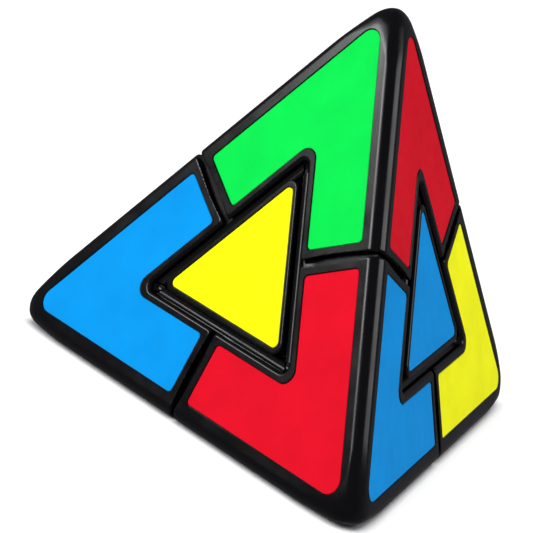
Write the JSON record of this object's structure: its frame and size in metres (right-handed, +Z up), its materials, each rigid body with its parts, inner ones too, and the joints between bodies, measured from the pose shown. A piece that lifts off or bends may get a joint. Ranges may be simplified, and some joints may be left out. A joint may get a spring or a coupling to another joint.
{
  "type": "pyramid twisty puzzle",
  "caption": "Four-sided pyramid puzzle whose corners turn about a hidden core, shuffling coloured stickers and raised triangular face centres.",
  "frame": {"origin": "centre of the face that the puzzle rests on", "axes": "+Z up, from the resting face through the core to the top tip, a threefold axis; -Y toward the front tip; +X toward the right tip's side"},
  "size_m": [0.0954, 0.0848, 0.0795],
  "materials": {
    "shell_plastic": "satin gloss black, moulded",
    "inner_plastic": "satin black, moulded",
    "core_plastic": "plain grey, moulded",
    "steel": "zinc plated",
    "sticker_green": "satin vinyl",
    "sticker_red": "satin vinyl",
    "sticker_yellow": "satin vinyl",
    "sticker_blue": "satin vinyl"
  },
  "bodies": {
    "core": {"core": "core_plastic", "axle_screw_top": "steel", "axle_screw_left": "steel", "axle_screw_front": "steel", "axle_screw_right": "steel", "washer_top": "steel", "washer_left": "steel", "washer_front": "steel", "washer_right": "steel"},
    "corner_top": {"corner_shell_top": "shell_plastic", "corner_base_top": "inner_plastic", "spring_top": "steel", "sticker_top_on_top_left_front": "sticker_green", "sticker_top_on_top_left_right": "sticker_yellow", "sticker_top_on_top_front_right": "sticker_red"},
    "corner_left": {"corner_shell_left": "shell_plastic", "corner_base_left": "inner_plastic", "spring_left": "steel", "sticker_left_on_top_left_front": "sticker_blue", "sticker_left_on_top_left_right": "sticker_green", "sticker_left_on_left_front_right": "sticker_yellow"},
    "corner_front": {"corner_shell_front": "shell_plastic", "corner_base_front": "inner_plastic", "spring_front": "steel", "sticker_front_on_top_left_front": "sticker_red", "sticker_front_on_top_front_right": "sticker_blue", "sticker_front_on_left_front_right": "sticker_green"},
    "corner_right": {"corner_shell_right": "shell_plastic", "corner_base_right": "inner_plastic", "spring_right": "steel", "sticker_right_on_top_left_right": "sticker_blue", "sticker_right_on_top_front_right": "sticker_yellow", "sticker_right_on_left_front_right": "sticker_red"},
    "hidden_edge_top_left": {"edge_top_left": "inner_plastic"},
    "hidden_edge_top_front": {"edge_top_front": "inner_plastic"},
    "hidden_edge_top_right": {"edge_top_right": "inner_plastic"},
    "hidden_edge_left_front": {"edge_left_front": "inner_plastic"},
    "hidden_edge_left_right": {"edge_left_right": "inner_plastic"},
    "hidden_edge_front_right": {"edge_front_right": "inner_plastic"},
    "centre_top_left_front": {"centre_cap_top_left_front": "shell_plastic", "centre_foot_top_left_front": "inner_plastic", "sticker_centre_top_left_front": "sticker_yellow"},
    "centre_top_left_right": {"centre_cap_top_left_right": "shell_plastic", "centre_foot_top_left_right": "inner_plastic", "sticker_centre_top_left_right": "sticker_green"},
    "centre_top_front_right": {"centre_cap_top_front_right": "shell_plastic", "centre_foot_top_front_right": "inner_plastic", "sticker_centre_top_front_right": "sticker_blue"},
    "centre_left_front_right": {"centre_cap_left_front_right": "shell_plastic", "centre_foot_left_front_right": "inner_plastic", "sticker_centre_left_front_right": "sticker_red"}
  },
  "joints": [
    {"name": "turn_top", "type": "hinge", "parent": "core", "child": "corner_top", "pos_m": [0, 0, 0.02164], "axis": [0, 0, 1], "continuous": true},
    {"name": "turn_left", "type": "hinge", "parent": "core", "child": "corner_left", "pos_m": [0, 0, 0.02164], "axis": [-0.8165, 0.4714, -0.3333], "range_deg": [-360, 360]},
    {"name": "turn_front", "type": "hinge", "parent": "core", "child": "corner_front", "pos_m": [0, 0, 0.02164], "axis": [0, -0.9428, -0.3333], "range_deg": [-360, 360]},
    {"name": "turn_right", "type": "hinge", "parent": "core", "child": "corner_right", "pos_m": [0, 0, 0.02164], "axis": [0.8165, 0.4714, -0.3333], "range_deg": [-360, 360]},
    {"name": "hidden_edge_top_left_with_left", "type": "hinge", "parent": "corner_top", "child": "hidden_edge_top_left", "pos_m": [0, 0, 0.02164], "axis": [-0.8165, 0.4714, -0.3333], "range_deg": [-360, 360]},
    {"name": "hidden_edge_left_right_with_left", "type": "hinge", "parent": "corner_right", "child": "hidden_edge_left_right", "pos_m": [0, 0, 0.02164], "axis": [-0.8165, 0.4714, -0.3333], "range_deg": [-360, 360]},
    {"name": "centre_top_left_right_with_left", "type": "hinge", "parent": "hidden_edge_top_right", "child": "centre_top_left_right", "pos_m": [0, 0, 0.02164], "axis": [-0.8165, 0.4714, -0.3333], "range_deg": [-360, 360]},
    {"name": "hidden_edge_top_front_with_front", "type": "hinge", "parent": "corner_top", "child": "hidden_edge_top_front", "pos_m": [0, 0, 0.02164], "axis": [0, -0.9428, -0.3333], "range_deg": [-360, 360]},
    {"name": "hidden_edge_left_front_with_front", "type": "hinge", "parent": "corner_left", "child": "hidden_edge_left_front", "pos_m": [0, 0, 0.02164], "axis": [0, -0.9428, -0.3333], "range_deg": [-360, 360]},
    {"name": "centre_top_left_front_with_front", "type": "hinge", "parent": "hidden_edge_top_left", "child": "centre_top_left_front", "pos_m": [0, 0, 0.02164], "axis": [0, -0.9428, -0.3333], "range_deg": [-360, 360]},
    {"name": "hidden_edge_top_right_with_right", "type": "hinge", "parent": "corner_top", "child": "hidden_edge_top_right", "pos_m": [0, 0, 0.02164], "axis": [0.8165, 0.4714, -0.3333], "range_deg": [-360, 360]},
    {"name": "hidden_edge_front_right_with_right", "type": "hinge", "parent": "corner_front", "child": "hidden_edge_front_right", "pos_m": [0, 0, 0.02164], "axis": [0.8165, 0.4714, -0.3333], "range_deg": [-360, 360]},
    {"name": "centre_top_front_right_with_right", "type": "hinge", "parent": "hidden_edge_top_front", "child": "centre_top_front_right", "pos_m": [0, 0, 0.02164], "axis": [0.8165, 0.4714, -0.3333], "range_deg": [-360, 360]},
    {"name": "centre_left_front_right_with_right", "type": "hinge", "parent": "hidden_edge_left_front", "child": "centre_left_front_right", "pos_m": [0, 0, 0.02164], "axis": [0.8165, 0.4714, -0.3333], "range_deg": [-360, 360]}
  ],
  "couplings": [
    {"joint": "hidden_edge_top_left_with_left", "follows": "turn_left", "ratio": 1},
    {"joint": "hidden_edge_left_right_with_left", "follows": "turn_left", "ratio": 1},
    {"joint": "centre_top_left_right_with_left", "follows": "turn_left", "ratio": 1},
    {"joint": "hidden_edge_top_front_with_front", "follows": "turn_front", "ratio": 1},
    {"joint": "hidden_edge_left_front_with_front", "follows": "turn_front", "ratio": 1},
    {"joint": "centre_top_left_front_with_front", "follows": "turn_front", "ratio": 1},
    {"joint": "hidden_edge_top_right_with_right", "follows": "turn_right", "ratio": 1},
    {"joint": "hidden_edge_front_right_with_right", "follows": "turn_right", "ratio": 1},
    {"joint": "centre_top_front_right_with_right", "follows": "turn_right", "ratio": 1},
    {"joint": "centre_left_front_right_with_right", "follows": "turn_right", "ratio": 1}
  ]
}
